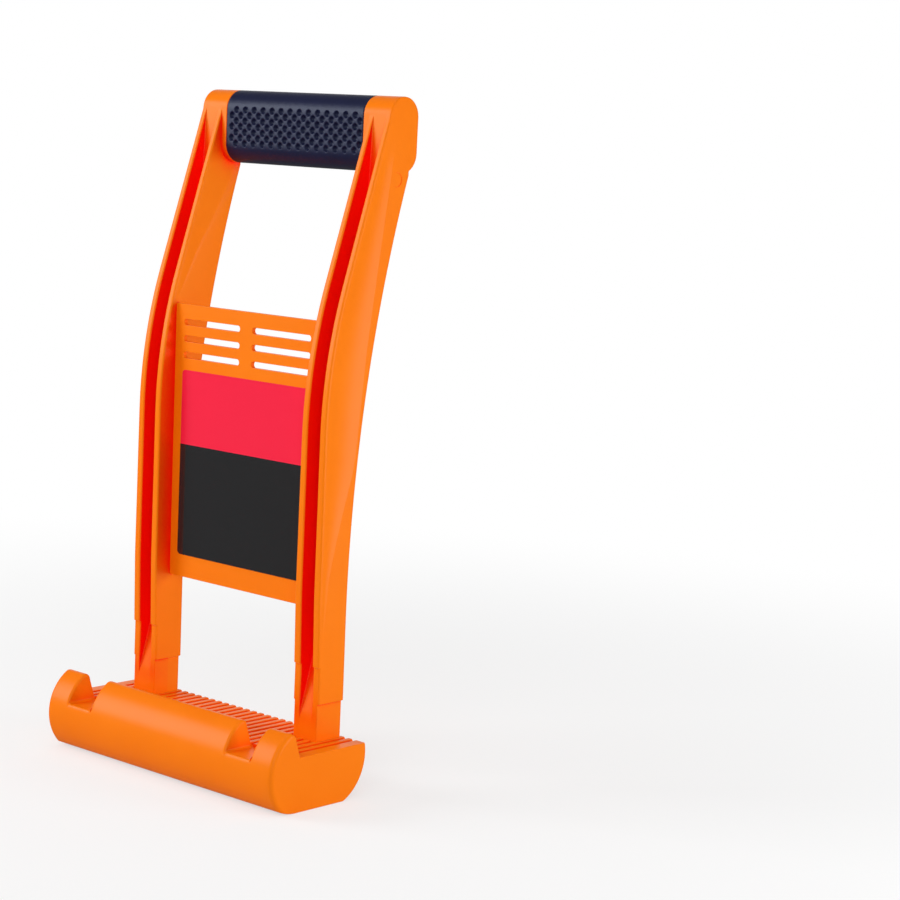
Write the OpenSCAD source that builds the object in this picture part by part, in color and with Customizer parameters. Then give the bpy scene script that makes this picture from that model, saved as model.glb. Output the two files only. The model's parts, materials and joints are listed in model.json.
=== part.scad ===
// Panel carrier: a ribbed hook, two leaning channel legs and a soft grip between their heads.
// X runs across, Y from the board side to the back, Z up. The board stands against the plane Y = 0.

/* [Hook base] */
// Width of the hook from end to end
hook_w = 195; // [182:1:220]
// Height of the rib tops that the board stands on
floor_z = 31.4; // [28:0.1:36]
// Height of the lip above the rib tops
lip_h = 15.1; // [8:0.1:18]
// How far the inner face of the lip leans forward over its height
lip_lean = 4.7; // [0:0.1:6]
// Width of the floor in front of the legs, which is the thickest board that fits
throat = 30; // [24:0.5:32]
// How far the rounded front reaches in front of the legs
front_reach = 51.9; // [50:0.1:56]
// Radius of the rounded front
front_r = 28; // [26:0.5:32]
// Height of the centre of the rounded front
front_mid_z = 21.7; // [19:0.1:24]
// Distance from the front of the legs to where the flat underside turns up
toe_reach = 32; // [26:0.5:36]
// Radius of that turn
toe_r = 30; // [28.5:0.5:38]
// How far the rounded back reaches behind the front of the legs
back_reach = 22.2; // [21.6:0.1:26]
// Radius of the rounded back
back_r = 28.4; // [27:0.1:34]
// Height of the centre of the rounded back
back_mid_z = 25.6; // [24:0.1:28]
// Rounding of the rims of the front
front_rim = 3; // [1:0.5:4]
// Rounding of the rims of the back
back_rim = 1; // [0.5:0.1:3]
// Distance from rib to rib
rib_pitch = 6.1; // [5:0.1:9]
// Width of a rib
rib_w = 3.2; // [2:0.1:4]
// Height of a rib
rib_h = 1.5; // [0.8:0.1:2.5]
// Distance from the middle to the near side of a notch in the lip
notch_in = 58.6; // [50:0.2:64]
// Width of a notch
notch_w = 20.5; // [14:0.5:24]
// Height of the floor of a notch
notch_z = 29.5; // [26:0.1:29.7]

/* [Underside of the hook] */
// Number of hollows on each side of the middle
pocket_pairs = 3; // [1:1:4]
// Width of the wall between two hollows
pocket_wall = 5; // [3:0.5:8]
// Distance from the middle to the end of the row
pocket_reach = 57; // [40:1:58]
// Front of the hollows, behind the front of the legs
pocket_front = -18; // [-26:0.5:-6]
// Back of the hollows, behind the front of the legs
pocket_back = 2; // [-2:0.5:3]
// Depth of the hollows
pocket_h = 12; // [6:0.5:20]

/* [Legs] */
// Distance from the middle plane to the middle of a leg
leg_mid = 69.85; // [66:0.05:74]
// Width of a leg at its foot
leg_foot_w = 20.6; // [18:0.1:23]
// Width of a leg at its top
leg_top_w = 17.2; // [16:0.1:20]
// Depth of a leg at its foot
leg_d = 20.4; // [18:0.2:21]
// How much narrower the foot block is on each side
foot_step = 1; // [0.4:0.1:1.5]
// Height of the step above the foot block
foot_z = 53.1; // [46:0.1:60]
// Height of the lower ends of the front rails
rail_z = 74.5; // [66:0.1:84]
// How far the rails stand proud at their lower ends
rail_low = 0.9; // [0.4:0.1:1.4]
// How far the rails stand proud higher up
rail_proud = 2; // [1.5:0.1:2.5]
// Height where the rails reach their full depth
rail_full_z = 114.7; // [100:0.1:130]
// Height where the legs begin to bend back
bend_z = 204.4; // [190:0.2:215]
// Radius of the bend
bend_r = 280; // [200:5:320]
// Lean of the upper legs in degrees
lean = 17.5; // [12:0.5:20]
// Height where the back of the legs begins to curve
back_curve_z = 98.7; // [85:0.1:118]

/* [Groove in each leg] */
// Width of the groove
groove_w = 9.9; // [8:0.1:11]
// Thickness of the web at the back of the groove
web = 2.4; // [2.2:0.1:4]
// Height where the floor of the groove runs out at the foot
groove_low_z = 42.7; // [38:0.1:48]
// Slope of the lower end of the groove floor in degrees
groove_low_slope = 14.5; // [11:0.5:18]
// Slope of the upper end of the groove floor against the leg in degrees
groove_top_slope = 15; // [12:0.5:18]

/* [Heads and grip] */
// Height of the carrier
total_h = 395.6; // [380:0.1:420]
// Height of the section of the grip
grip_h = 43.1; // [38:0.1:48]
// Depth of the section of the grip
grip_d = 23; // [21:0.1:28]
// Length of the grip between the two heads
grip_l = 114; // [106:0.5:116]
// How far below the grip the back of the leg meets the head
join_drop = 1.2; // [0:0.1:6]
// How far behind the middle of the grip the back of the leg meets the head
join_back = 5.5; // [3:0.1:7]
// Thickness of the soft sleeve
sleeve_t = 2.3; // [2:0.1:3.5]
// Wall of the tube in the grip
core_wall = 1.8; // [1.4:0.1:4]
// Length of each end of the tube inside a head
core_plug = 14; // [10:0.5:16]

/* [Plate and label] */
// Height of the lower edge of the plate
plate_low_z = 105; // [90:0.1:118]
// Height of the upper edge of the plate
plate_top_z = 268.7; // [262:0.1:280]
// Distance of the plate behind the front of the legs
plate_y = 9.3; // [7:0.1:11]
// Thickness of the plate
plate_t = 2.8; // [2:0.1:4]
// Wall that is left between the edge of the plate and the groove of a leg
tongue_wall = 2.4; // [1.5:0.1:3]
// Height of a slot
slot_h = 3.7; // [2.4:0.1:3.9]
// Distance from slot to slot
slot_pitch = 9.8; // [8:0.1:12]
// Number of slots above one another
slot_rows = 3; // [1:1:4]
// Height of the solid strip above the upper slots
slot_edge = 8.7; // [5:0.1:12]
// Distance from the middle to the near end of a slot
slot_in = 5.2; // [3:0.1:10]
// Distance from the middle to the far end of a slot
slot_out = 53.6; // [44:0.1:56]
// Width of the label
label_w = 106.6; // [80:0.2:112]
// Height of the lower edge of the label above the plate's lower edge
label_low = 13.6; // [6:0.1:20]
// Height of the label
label_h = 111.1; // [90:0.1:116]
// Thickness of the label
label_t = 0.4; // [0.2:0.1:0.8]
// Rounding of the corners of the label
label_r = 2.5; // [1:0.5:5]

/* [Joint at the foot] */
// Width of the tenon under a leg
foot_tenon_w = 12.4; // [11:0.1:13.5]
// Depth of the tenon
foot_tenon_d = 14; // [12:0.2:15]
// Distance of the tenon behind the front of the leg
foot_tenon_y = 0.6; // [0.4:0.1:1.2]
// Height of the lower end of the tenon
foot_tenon_z = 13; // [11:0.5:16]

/* [Fasteners] */
// Distance of a leg screw behind the front of the leg
leg_screw_y = 5.2; // [4.6:0.1:6]
// Diameter of a leg screw
leg_screw_d = 5; // [4:0.5:5.5]
// Length of a leg screw under its head
leg_screw_l = 16; // [14:0.5:18]
// Diameter of the head of a leg screw
leg_head_d = 9.5; // [8:0.5:10]
// Height of the head of a leg screw
leg_head_h = 3.6; // [3:0.1:4]
// Diameter of a washer
washer_d = 11; // [10:0.5:11.5]
// Thickness of a washer
washer_t = 1.2; // [0.8:0.1:1.6]
// Depth of the recess for a washer and a screw head
leg_recess = 8.4; // [7.5:0.1:9]
// Diameter of a threaded bush
bush_d = 7.2; // [6.5:0.1:7.6]
// Length of a threaded bush
bush_l = 9; // [7:0.5:11]
// Diameter of a handle screw
grip_screw_d = 4; // [3:0.5:4.5]
// Length of a handle screw with its head
grip_screw_l = 9; // [7:0.5:10]
// Diameter of the head of a handle screw
grip_head_d = 7.6; // [6.5:0.1:8]
// Height of the head of a handle screw
grip_head_h = 2.2; // [1.8:0.1:2.4]
// Width of the six-sided drive as a part of the diameter of its screw
drive_part = 0.7; // [0.5:0.05:0.8]

/* [Fits] */
// Gap around a tenon or tongue
fit = 0.1; // [0.05:0.05:0.25]
// Gap around a screw, bush or head
bore_fit = 0.15; // [0.1:0.05:0.3]

/* [Hidden] */
// Steps in a full circle for the curves of normal size
$fn = 96;
// Steps in a full circle for the two long curves of the legs
long_fn = 1440;
// Cuts run this far past the face that they open
past = 1;
// Longer than anything in the part
far = 300;

lip_z = floor_z + lip_h;
front_y = front_r - front_reach;
back_y = back_reach - back_r;
hook_end = hook_w / 2;
rib_room = hook_end - rib_w;
rib_half = floor(rib_room / rib_pitch);
pocket_step = (pocket_reach + pocket_wall / 2) / pocket_pairs;

leg_far = leg_mid + leg_foot_w / 2;
leg_near = leg_mid - leg_foot_w / 2;
foot_w = leg_foot_w - 2 * foot_step;
foot_d = leg_d - foot_step;

grip_r = grip_d / 2;
grip_low_z = total_h - grip_h;
grip_mid_z = total_h - grip_h / 2;
head_low_z = grip_low_z + grip_r;
head_top_z = total_h - grip_r;
bend_y = bend_r - rail_proud;
bend_end_y = bend_y - bend_r * cos(lean);
bend_end_z = bend_z + bend_r * sin(lean);
head_y = bend_end_y + (head_top_z - bend_end_z) * tan(lean);
grip_y = head_y + grip_r;
grip_end = grip_l / 2;

join_y = grip_y + join_back;
join_z = grip_low_z - join_drop;
join_rise = join_z - back_curve_z;
join_run = join_y - leg_d;
back_curve_r = (join_rise * join_rise + join_run * join_run) / (2 * join_run);

low_grow = tan(groove_low_slope);
top_grow = tan(lean - groove_top_slope);
meet_z = (head_y - head_top_z * top_grow + groove_low_z * low_grow) / (low_grow - top_grow);
meet_y = (meet_z - groove_low_z) * low_grow;

core_d = grip_d - 2 * sleeve_t - 2 * fit;
core_h = grip_h - 2 * sleeve_t - 2 * fit;
core_end = grip_end + core_plug;
grip_screw_x = grip_end + core_plug / 2;
grip_back_y = grip_y + grip_r;

plate_h = plate_top_z - plate_low_z;
plate_half_w = leg_mid - groove_w / 2 - tongue_wall;
label_low_z = plate_low_z + label_low;

// Piece to draw

// Extrudes a side view across the width, from one distance from the middle to another
module side_view(x_from, x_to) {
    translate([x_from, 0, 0])
        rotate([90, 0, 90])
            linear_extrude(x_to - x_from)
                children();
}

// Extrudes a front view towards the back
module front_view(y_from, depth) {
    translate([0, y_from + depth, 0])
        rotate([90, 0, 0])
            linear_extrude(depth)
                children();
}

// Draws its children once on each side of the middle plane
module on_both_sides() {
    children();
    mirror([1, 0, 0])
        children();
}

// Upright oval with round ends, about its middle
module oval(depth, height) {
    straight = height - depth;
    square([depth, straight], center = true);
    for (end = [-1, 1])
        translate([0, end * straight / 2])
            circle(d = depth);
}

// Lying drum across the width with rounded rims
module drum(radius, rim) {
    rotate([0, 90, 0])
        rotate_extrude()
            union() {
                translate([0, -hook_end])
                    square([radius - rim, hook_w]);
                translate([0, -hook_end + rim])
                    square([radius, hook_w - 2 * rim]);
                for (end = [-1, 1])
                    translate([radius - rim, end * (hook_end - rim)])
                        circle(r = rim);
            }
}

// Front of the hook up to the top of the lip
module hook_front() {
    intersection() {
        translate([0, front_y, front_mid_z])
            drum(front_r, front_rim);
        translate([-far, -far, 0])
            cube([2 * far, far + front_y, lip_z]);
        union() {
            translate([-far, -toe_reach, toe_r])
                rotate([0, 90, 0])
                    cylinder(r = toe_r, h = 2 * far);
            translate([-far, -far, toe_r])
                cube([2 * far, far, far]);
            translate([-far, -toe_reach, 0])
                cube([2 * far, far, far]);
        }
    }
}

// Back of the hook up to the rib tops
module hook_back() {
    intersection() {
        translate([0, back_y, back_mid_z])
            drum(back_r, back_rim);
        translate([-far, back_y, 0])
            cube([2 * far, far, floor_z]);
    }
}

// Everything above the floor behind the lip
module board_room() {
    side_view(-far, far)
        polygon([
            [-throat, floor_z],
            [-throat - lip_lean, lip_z],
            [-throat - lip_lean, lip_z + past],
            [far, lip_z + past],
            [far, floor_z]
        ]);
}

// Gaps between the ribs, left out where a leg stands on the floor
module rib_gaps() {
    gap_w = rib_pitch - rib_w;
    difference() {
        for (i = [-rib_half : rib_half - 1])
            translate([i * rib_pitch + rib_w / 2, -throat, floor_z - rib_h])
                cube([gap_w, far, rib_h + past]);
        on_both_sides()
            translate([leg_mid - foot_w / 2, 0, floor_z - 2 * rib_h])
                cube([foot_w, foot_d, far]);
    }
}

// Gap in the lip in front of one leg
module lip_notch() {
    translate([notch_in, -far, notch_z])
        cube([notch_w, far - throat, far]);
}

// Socket, screw bore and screw recess under one leg
module foot_socket() {
    translate([leg_mid - foot_tenon_w / 2 - fit, foot_tenon_y - fit, foot_tenon_z])
        cube([foot_tenon_w + 2 * fit, foot_tenon_d + 2 * fit, far]);
    translate([leg_mid, leg_screw_y, -past]) {
        cylinder(d = leg_screw_d + 2 * bore_fit, h = foot_tenon_z + 2 * past);
        cylinder(d = washer_d + 2 * bore_fit, h = leg_recess + past);
    }
}

// Hollows that lighten one half of the underside, with half a wall at the middle
module pockets() {
    for (i = [0 : pocket_pairs - 1])
        translate([pocket_wall / 2 + i * pocket_step, pocket_front, -past])
            cube([pocket_step - pocket_wall, pocket_back - pocket_front, pocket_h + past]);
}

module hook_base() {
    color("darkorange")
        difference() {
            union() {
                hook_front();
                translate([-hook_end, front_y - past, 0])
                    cube([hook_w, back_y - front_y + 2 * past, floor_z]);
                hook_back();
            }
            board_room();
            rib_gaps();
            on_both_sides() {
                pockets();
                lip_notch();
                foot_socket();
            }
        }
}

// Side view of the leg between the foot step and the head
module leg_side() {
    difference() {
        union() {
            polygon([
                [0, foot_z],
                [0, rail_z],
                [-rail_low, rail_z],
                [-rail_proud, rail_full_z],
                [-rail_proud, bend_z],
                [bend_end_y, bend_end_z],
                [head_y, head_top_z],
                [grip_y, head_top_z],
                [grip_y, head_low_z],
                [join_y, grip_low_z],
                [join_y, join_z],
                [leg_d, back_curve_z],
                [leg_d, foot_z]
            ]);
            intersection() {
                translate([bend_y, bend_z])
                    circle(r = bend_r, $fn = long_fn);
                polygon([
                    [-rail_proud - past, bend_z],
                    [-rail_proud - past, bend_end_z],
                    [bend_end_y, bend_end_z],
                    [-rail_proud, bend_z]
                ]);
            }
        }
        intersection() {
            translate([leg_d + back_curve_r, back_curve_z])
                circle(r = back_curve_r, $fn = long_fn);
            translate([0, back_curve_z])
                square([far, join_rise]);
        }
    }
}

// Side view of the groove, open to the front
module groove_side() {
    difference() {
        polygon([
            [-far, groove_low_z],
            [0, groove_low_z],
            [meet_y, meet_z],
            [head_y, head_top_z],
            [-far, head_top_z]
        ]);
        translate([leg_d + back_curve_r, back_curve_z])
            circle(r = back_curve_r + web, $fn = long_fn);
    }
}

// Oval section of the heads and the grip in its place in the side view
module grip_side(depth, height) {
    translate([grip_y, grip_mid_z])
        oval(depth, height);
}

// Front view of the room that a leg fills between a near side and its tapered far side
module leg_front(near_foot, near_top) {
    polygon([
        [near_foot, foot_z],
        [leg_far, foot_z],
        [leg_mid + leg_top_w / 2, total_h],
        [near_top, total_h]
    ]);
}

// Leg and head above the foot step, before anything is cut out of them
module leg_block() {
    intersection() {
        side_view(leg_near, leg_far)
            leg_side();
        front_view(-far, 2 * far)
            leg_front(leg_near, leg_mid - leg_top_w / 2);
    }
    intersection() {
        side_view(grip_end, leg_far)
            grip_side(grip_d, grip_h);
        front_view(-far, 2 * far)
            leg_front(0, 0);
    }
}

// Foot block on the floor of the hook and the tenon below it
module foot_block() {
    translate([leg_mid - foot_w / 2, 0, floor_z])
        cube([foot_w, foot_d, foot_z - floor_z + past]);
    translate([leg_mid - foot_tenon_w / 2, foot_tenon_y, foot_tenon_z])
        cube([foot_tenon_w, foot_tenon_d, floor_z - foot_tenon_z + past]);
}

// Bores for the bush and the screw from below
module foot_bores() {
    translate([leg_mid, leg_screw_y, foot_tenon_z - past])
        cylinder(d = bush_d + 2 * bore_fit, h = bush_l + past);
    translate([leg_mid, leg_screw_y, foot_tenon_z])
        cylinder(d = leg_screw_d + 2 * bore_fit, h = leg_screw_l);
}

// Countersunk screw along its axis, or the room for it when it is wider by some play
module grip_screw(play) {
    cylinder(d1 = grip_head_d + play, d2 = grip_screw_d + play, h = grip_head_h);
    cylinder(d = grip_screw_d + play, h = grip_screw_l);
}

// Countersunk bore for the screw at the back of the head
module head_bores() {
    translate([grip_screw_x, grip_back_y, grip_mid_z])
        rotate([90, 0, 0]) {
            grip_screw(2 * bore_fit);
            translate([0, 0, -past])
                cylinder(d = grip_head_d + 2 * bore_fit, h = past);
        }
}

module right_leg_shape() {
    difference() {
        union() {
            leg_block();
            foot_block();
        }
        side_view(leg_mid - groove_w / 2, leg_mid + groove_w / 2)
            groove_side();
        side_view(grip_end - past, core_end + fit)
            grip_side(core_d + 2 * fit, core_h + 2 * fit);
        translate([0, plate_y - fit, plate_low_z - fit])
            cube([plate_half_w + fit, plate_t + 2 * fit, plate_h + 2 * fit]);
        foot_bores();
        head_bores();
    }
}

module right_leg() {
    color("darkorange")
        right_leg_shape();
}

module left_leg() {
    color("darkorange")
        mirror([1, 0, 0])
            right_leg_shape();
}

// Front view of one slot, lying, from its near end to its far end
module slot_view() {
    reach = slot_out - slot_in - slot_h;
    translate([slot_in + slot_h / 2, -slot_h / 2])
        square([reach, slot_h]);
    for (end = [0, 1])
        translate([slot_in + slot_h / 2 + end * reach, 0])
            circle(d = slot_h);
}

module centre_plate() {
    color("orange")
        front_view(plate_y, plate_t)
            difference() {
                translate([-plate_half_w, plate_low_z])
                    square([2 * plate_half_w, plate_h]);
                for (row = [0 : slot_rows - 1])
                    translate([0, plate_top_z - slot_edge - slot_h / 2 - row * slot_pitch])
                        on_both_sides()
                            slot_view();
            }
}

module label_sheet() {
    color("crimson")
        front_view(plate_y - label_t, label_t)
            translate([-label_w / 2, label_low_z]) {
                translate([label_r, 0])
                    square([label_w - 2 * label_r, label_h]);
                translate([0, label_r])
                    square([label_w, label_h - 2 * label_r]);
                for (x = [label_r, label_w - label_r], z = [label_r, label_h - label_r])
                    translate([x, z])
                        circle(r = label_r);
            }
}

module handle_core() {
    color("dimgray")
        difference() {
            side_view(-core_end, core_end)
                difference() {
                    grip_side(core_d, core_h);
                    grip_side(core_d - 2 * core_wall, core_h - 2 * core_wall);
                }
            on_both_sides()
                head_bores();
        }
}

module grip_sleeve() {
    color("midnightblue")
        side_view(-grip_end + fit, grip_end - fit)
            difference() {
                grip_side(grip_d, grip_h);
                grip_side(core_d + 2 * fit, core_h + 2 * fit);
            }
}

module leg_inserts() {
    color("goldenrod")
        on_both_sides()
            translate([leg_mid, leg_screw_y, foot_tenon_z])
                difference() {
                    cylinder(d = bush_d, h = bush_l);
                    translate([0, 0, -past])
                        cylinder(d = leg_screw_d + 2 * bore_fit, h = bush_l + 2 * past);
                }
}

module leg_screws() {
    seat_z = leg_recess - washer_t;
    color("silver")
        on_both_sides()
            translate([leg_mid, leg_screw_y, seat_z])
                difference() {
                    union() {
                        cylinder(d = leg_screw_d, h = leg_screw_l);
                        translate([0, 0, -leg_head_h])
                            cylinder(d = leg_head_d, h = leg_head_h);
                    }
                    translate([0, 0, -leg_head_h - past])
                        cylinder(d = drive_part * leg_screw_d, h = leg_head_h / 2 + past, $fn = 6);
                }
}

module leg_washers() {
    color("lightgray")
        on_both_sides()
            translate([leg_mid, leg_screw_y, leg_recess - washer_t])
                difference() {
                    cylinder(d = washer_d, h = washer_t);
                    translate([0, 0, -past])
                        cylinder(d = leg_screw_d + 2 * bore_fit, h = washer_t + 2 * past);
                }
}

module handle_screws() {
    color("silver")
        on_both_sides()
            translate([grip_screw_x, grip_back_y, grip_mid_z])
                rotate([90, 0, 0])
                    difference() {
                        grip_screw(0);
                        translate([0, 0, -past])
                            cylinder(d = drive_part * grip_screw_d, h = grip_head_h / 2 + past, $fn = 6);
                    }
}

hook_base();
left_leg();
right_leg();
centre_plate();
label_sheet();
handle_core();
grip_sleeve();
leg_inserts();
leg_screws();
leg_washers();
handle_screws();
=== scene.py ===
# %% [markdown]
# # Dressing a panel carrier
# A panel carrier is a hand tool for boards. A ribbed hook takes the lower edge of the board, two
# channel legs run up its face, and a soft grip between their heads is held in one hand.
# The frame holds every piece as a plain solid at its real size. This lesson rebuilds the pieces
# that show with softened edges and fine relief, gives each a finish, and sets up a small studio.

# %% Load the frame
import json
import math

import bmesh
import bpy
from mathutils import Matrix, Vector

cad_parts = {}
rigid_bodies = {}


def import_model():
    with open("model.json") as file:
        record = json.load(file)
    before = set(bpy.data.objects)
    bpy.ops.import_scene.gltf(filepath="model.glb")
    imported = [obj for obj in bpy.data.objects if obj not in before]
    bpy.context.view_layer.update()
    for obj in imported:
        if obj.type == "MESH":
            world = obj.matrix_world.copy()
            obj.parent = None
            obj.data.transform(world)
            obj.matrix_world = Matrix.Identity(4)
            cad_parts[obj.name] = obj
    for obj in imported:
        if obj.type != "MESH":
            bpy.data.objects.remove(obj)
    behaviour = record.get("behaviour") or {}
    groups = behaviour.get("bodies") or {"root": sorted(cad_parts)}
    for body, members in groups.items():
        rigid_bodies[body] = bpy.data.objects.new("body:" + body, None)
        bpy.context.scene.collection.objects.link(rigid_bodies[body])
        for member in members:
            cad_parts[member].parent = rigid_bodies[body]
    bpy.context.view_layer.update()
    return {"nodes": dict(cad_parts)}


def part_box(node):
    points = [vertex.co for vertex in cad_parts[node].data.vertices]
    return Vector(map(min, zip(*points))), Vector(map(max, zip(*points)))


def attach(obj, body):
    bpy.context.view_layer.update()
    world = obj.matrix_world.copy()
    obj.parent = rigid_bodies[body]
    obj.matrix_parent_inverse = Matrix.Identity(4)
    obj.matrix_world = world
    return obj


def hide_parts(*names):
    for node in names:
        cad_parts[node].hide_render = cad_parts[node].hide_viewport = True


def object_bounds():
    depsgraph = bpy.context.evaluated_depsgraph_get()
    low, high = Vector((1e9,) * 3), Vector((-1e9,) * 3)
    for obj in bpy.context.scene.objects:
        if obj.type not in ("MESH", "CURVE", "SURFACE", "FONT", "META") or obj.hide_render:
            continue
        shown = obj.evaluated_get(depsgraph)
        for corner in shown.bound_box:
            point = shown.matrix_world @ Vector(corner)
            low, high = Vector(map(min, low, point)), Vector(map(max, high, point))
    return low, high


for leftover in list(bpy.data.objects):
    bpy.data.objects.remove(leftover)
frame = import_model()
print("nodes", sorted(frame["nodes"]))

# %% [markdown]
# ## Camera
# The camera stands to the right of the carrier and a little above its middle. A long lens keeps the
# uprights nearly parallel. The camera does not look straight at the carrier: it stands at one pair of
# angles and looks along another, which is why the carrier sits left of the middle of the picture.

# %% Camera
MM = 0.001
picture_px = 900
focal_px = 2400
sensor_mm = 36
aim_point = Vector((0, 20, 178.7)) * MM
stand_turn, stand_rise = math.radians(46.615), math.radians(8.414)
look_turn, look_rise = math.radians(41.935), math.radians(7.886)
camera_roll = math.radians(2.615)
camera_far = 1411.5 * MM


def direction(turn, rise):
    """Unit vector towards a turn from the front, to the right, and a rise above the floor."""
    return Vector((math.sin(turn) * math.cos(rise), -math.cos(turn) * math.cos(rise), math.sin(rise)))


backward = direction(look_turn, look_rise)
level_right = Vector((math.cos(look_turn), math.sin(look_turn), 0))
level_up = backward.cross(level_right)
right = level_right * math.cos(camera_roll) + level_up * math.sin(camera_roll)
up = level_up * math.cos(camera_roll) - level_right * math.sin(camera_roll)
camera = bpy.data.objects.new("camera", bpy.data.cameras.new("camera"))
bpy.context.scene.collection.objects.link(camera)
bpy.context.scene.camera = camera
camera.data.sensor_fit = "HORIZONTAL"
camera.data.sensor_width = sensor_mm
camera.data.lens = sensor_mm * focal_px / picture_px
turned = Matrix((right, up, backward)).transposed().to_4x4()
camera.matrix_world = Matrix.Translation(aim_point + camera_far * direction(stand_turn, stand_rise)) @ turned
print("camera lens", round(camera.data.lens, 1), "mm")

# %% [markdown]
# ## Shader arithmetic
# A finish is a small network of nodes. Wiring each Math node by hand hides the idea, so one class wraps
# a socket and lets Python's operators add the nodes. A second class is the finish itself: it makes any
# other node from its type, its settings and the values of its sockets. The world has nodes too, so the
# same class serves it.

# %% Sockets that can be added and multiplied


def plug(tree, slot, value):
    """Links a wire to a socket, or sets the socket to a plain value."""
    if isinstance(value, Wire):
        tree.links.new(value.socket, slot)
    elif isinstance(value, tuple) and slot.type == "RGBA":
        slot.default_value = (*value, 1)
    else:
        slot.default_value = value


class Wire:
    """The output of a node. Arithmetic on wires adds Math nodes."""

    def __init__(self, tree, socket):
        self.tree = tree
        self.socket = socket

    def math(self, operation, *values):
        node = self.tree.nodes.new("ShaderNodeMath")
        node.operation = operation
        for slot, value in zip(node.inputs, values):
            plug(self.tree, slot, value)
        return Wire(self.tree, node.outputs[0])

    def __add__(self, other):
        return self.math("ADD", self, other)

    def __sub__(self, other):
        return self.math("SUBTRACT", self, other)

    def __rsub__(self, other):
        return self.math("SUBTRACT", other, self)

    def __mul__(self, other):
        return self.math("MULTIPLY", self, other)

    def __gt__(self, other):
        return self.math("GREATER_THAN", self, other)

    __radd__ = __add__
    __rmul__ = __mul__


print("sockets take plus, minus, times and greater than")

# %% Nodes of a finish


class Finish:
    """The nodes of a material or of the world, added one call at a time."""

    def __init__(self, owner, shader="Principled BSDF"):
        self.owner = owner
        owner.use_nodes = True
        self.tree = owner.node_tree
        self.shader = self.tree.nodes[shader]

    def node(self, kind, settings=None, sockets=None, output=0):
        """Adds a node. Its settings come first, because they decide which sockets it has."""
        node = self.tree.nodes.new(kind)
        for name, value in (settings or {}).items():
            setattr(node, name, value)
        for name, value in (sockets or {}).items():
            plug(self.tree, node.inputs[name], value)
        return Wire(self.tree, node.outputs[output])

    def set(self, **sockets):
        """Sets the shader's sockets, with an underscore for the space in a name."""
        for name, value in sockets.items():
            plug(self.tree, self.shader.inputs[name.replace("_", " ")], value)

    def place(self):
        """Object coordinates, as a vector."""
        return self.node("ShaderNodeTexCoord", output="Object")

    def coordinate(self, axis):
        """One of the three Object coordinates, in metres."""
        return self.node("ShaderNodeSeparateXYZ", sockets={"Vector": self.place()}, output=axis)

    def noise(self, grain_mm, detail=2.0):
        """Noise from 0 to 1 with spots of about this size."""
        sockets = {"Vector": self.place(), "Scale": 1 / (grain_mm * MM), "Detail": detail}
        return self.node("ShaderNodeTexNoise", sockets=sockets, output="Fac")

    def ramp(self, value, start, end, lowest=0.0):
        """Soft step from a lowest value to 1, while a value goes from a start to an end."""
        sockets = {"Value": value, "From Min": start, "From Max": end, "To Min": lowest}
        return self.node("ShaderNodeMapRange", {"interpolation_type": "SMOOTHSTEP"}, sockets)

    def mix(self, share, low, high):
        """Colour between two colours, which are sockets 6 and 7 of a Mix node. Its result is output 2."""
        return self.node("ShaderNodeMix", {"data_type": "RGBA"}, {0: share, 6: low, 7: high}, output=2)

    def bump(self, height, depth_mm, strength=1.0):
        """Normal for relief of this depth."""
        sockets = {"Height": height, "Distance": depth_mm * MM, "Strength": strength}
        return self.node("ShaderNodeBump", sockets=sockets)


print("shader helpers ready")

# %% [markdown]
# ## Orange moulding
# The hook, the legs and the plate are one orange plastic. A moulding takes the fine grain of its mould,
# so its shine is broken up by grains of about half a millimetre, and the pigment is never quite even.
# The colour shifts very slightly over large soft clouds, and the grain drives roughness and bump.
# Light that falls into a groove bounces from orange to orange and loses green each time, so deep places
# look red. That red is painted shade: ambient occlusion finds those places and the base colour turns red
# there. The legs also count their neighbours, because the plate and the hook stand close to them. Behind
# the plate their inner sides face the bright back of the studio, so the painted shade stops at the plate,
# and little of it is left at the open feet.

# %% Orange moulding finish
plate_low, plate_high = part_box("centre_plate")
# Where the painted shade of the legs stops: behind the plate, and mostly at the feet.
inner_side_x = 62.5
fade_over_plate, fade_under_plate = 25, 5
foot_painted_shade, foot_painted_shade_low_z, foot_painted_shade_high_z = 0.15, 35, 53
open_sky_share = 0.85


def painted_shade_share(finish):
    """Share of the painted shade a leg keeps: 0 inside behind the plate, little at the foot, else 1."""
    across, depth, height = [finish.coordinate(axis) for axis in "XYZ"]
    past_side = across.math("ABSOLUTE", across) > inner_side_x * MM
    below = finish.ramp(height, plate_high.z + fade_over_plate * MM, plate_high.z - fade_under_plate * MM)
    behind = (1 - past_side) * (depth > (plate_low.y + plate_high.y) / 2) * below
    return (1 - behind) * finish.ramp(height, foot_painted_shade_low_z * MM, foot_painted_shade_high_z * MM, lowest=foot_painted_shade)


def orange_moulding(name, painted_shade_colour, closed, reach_mm, neighbours):
    """Orange with painted shade, red where less of the sky within reach is open; full at the closed share.
    """
    finish = Finish(bpy.data.materials.new(name))
    clouds = finish.noise(28, detail=3.0)
    grain = finish.noise(0.55, detail=3.0)
    # Painted shade: where ambient occlusion finds little open sky, the base colour turns red.
    sky = finish.node("ShaderNodeAmbientOcclusion", {"samples": 8, "only_local": not neighbours},
                      {"Distance": reach_mm * MM}, output="AO")
    deep = finish.ramp(sky, open_sky_share, closed)
    if neighbours:
        deep = deep * painted_shade_share(finish)
    pigment = finish.mix(clouds, (0.93, 0.19, 0.0015), (0.97, 0.215, 0.0025))
    finish.set(
        Base_Color=finish.mix(deep, pigment, painted_shade_colour),
        Roughness=0.24 + 0.08 * grain + 0.04 * clouds,
        Normal=finish.bump(grain, 0.02, strength=0.25),
        Specular_IOR_Level=0.1,
    )
    return finish.owner


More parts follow.
